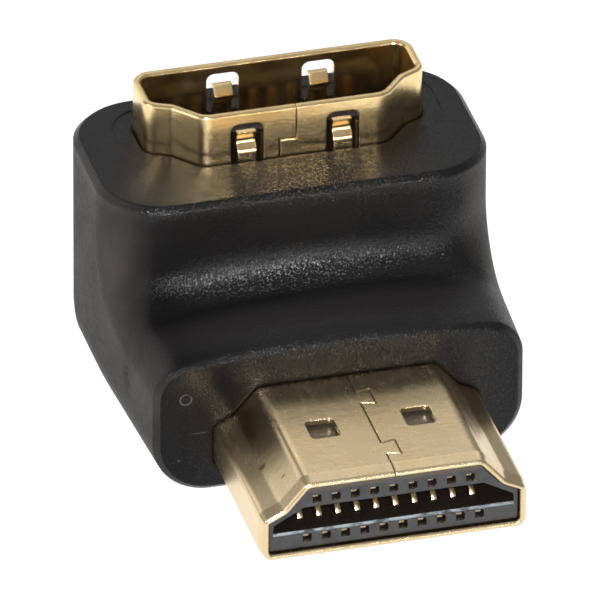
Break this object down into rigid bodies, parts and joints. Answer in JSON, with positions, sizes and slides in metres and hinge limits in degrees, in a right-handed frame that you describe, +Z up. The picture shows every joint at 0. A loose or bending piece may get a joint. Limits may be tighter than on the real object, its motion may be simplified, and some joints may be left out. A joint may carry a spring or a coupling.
{
  "type": "right angle hdmi adapter",
  "caption": "Right-angle audio and video adapter: a flat gold plug at the front and a gold socket that opens upwards, in a black moulded elbow",
  "frame": {"origin": "centre of the whole adapter's footprint, on the flat underside that it rests on", "axes": "+Z up, the way the socket opens; -Y the way the plug points; X across the width, with the plug's wide side down and the socket's wide side at the back"},
  "size_m": [0.0206, 0.0274, 0.0158],
  "materials": {
    "black_plastic": "finely textured moulded plastic",
    "inner_plastic": "plain moulded plastic",
    "board": "solder-masked board",
    "gold_shell": "polished gold plating",
    "gold_contact": "bright gold plating",
    "dark_insulator": "smooth moulded plastic"
  },
  "bodies": {
    "root": {"overmould_body": "black_plastic", "inner_mould": "inner_plastic", "circuit_board": "board", "plug_shell": "gold_shell", "plug_insulator": "dark_insulator", "plug_spacer": "dark_insulator", "socket_shell": "gold_shell", "socket_insulator": "dark_insulator", "plug_contact_01": "gold_contact", "plug_contact_02": "gold_contact", "plug_contact_03": "gold_contact", "plug_contact_04": "gold_contact", "plug_contact_05": "gold_contact", "plug_contact_06": "gold_contact", "plug_contact_07": "gold_contact", "plug_contact_08": "gold_contact", "plug_contact_09": "gold_contact", "plug_contact_10": "gold_contact", "plug_contact_11": "gold_contact", "plug_contact_12": "gold_contact", "plug_contact_13": "gold_contact", "plug_contact_14": "gold_contact", "plug_contact_15": "gold_contact", "plug_contact_16": "gold_contact", "plug_contact_17": "gold_contact", "plug_contact_18": "gold_contact", "plug_contact_19": "gold_contact", "socket_contact_01": "gold_contact", "socket_contact_02": "gold_contact", "socket_contact_03": "gold_contact", "socket_contact_04": "gold_contact", "socket_contact_05": "gold_contact", "socket_contact_06": "gold_contact", "socket_contact_07": "gold_contact", "socket_contact_08": "gold_contact", "socket_contact_09": "gold_contact", "socket_contact_10": "gold_contact", "socket_contact_11": "gold_contact", "socket_contact_12": "gold_contact", "socket_contact_13": "gold_contact", "socket_contact_14": "gold_contact", "socket_contact_15": "gold_contact", "socket_contact_16": "gold_contact", "socket_contact_17": "gold_contact", "socket_contact_18": "gold_contact", "socket_contact_19": "gold_contact"}
  },
  "joints": []
}
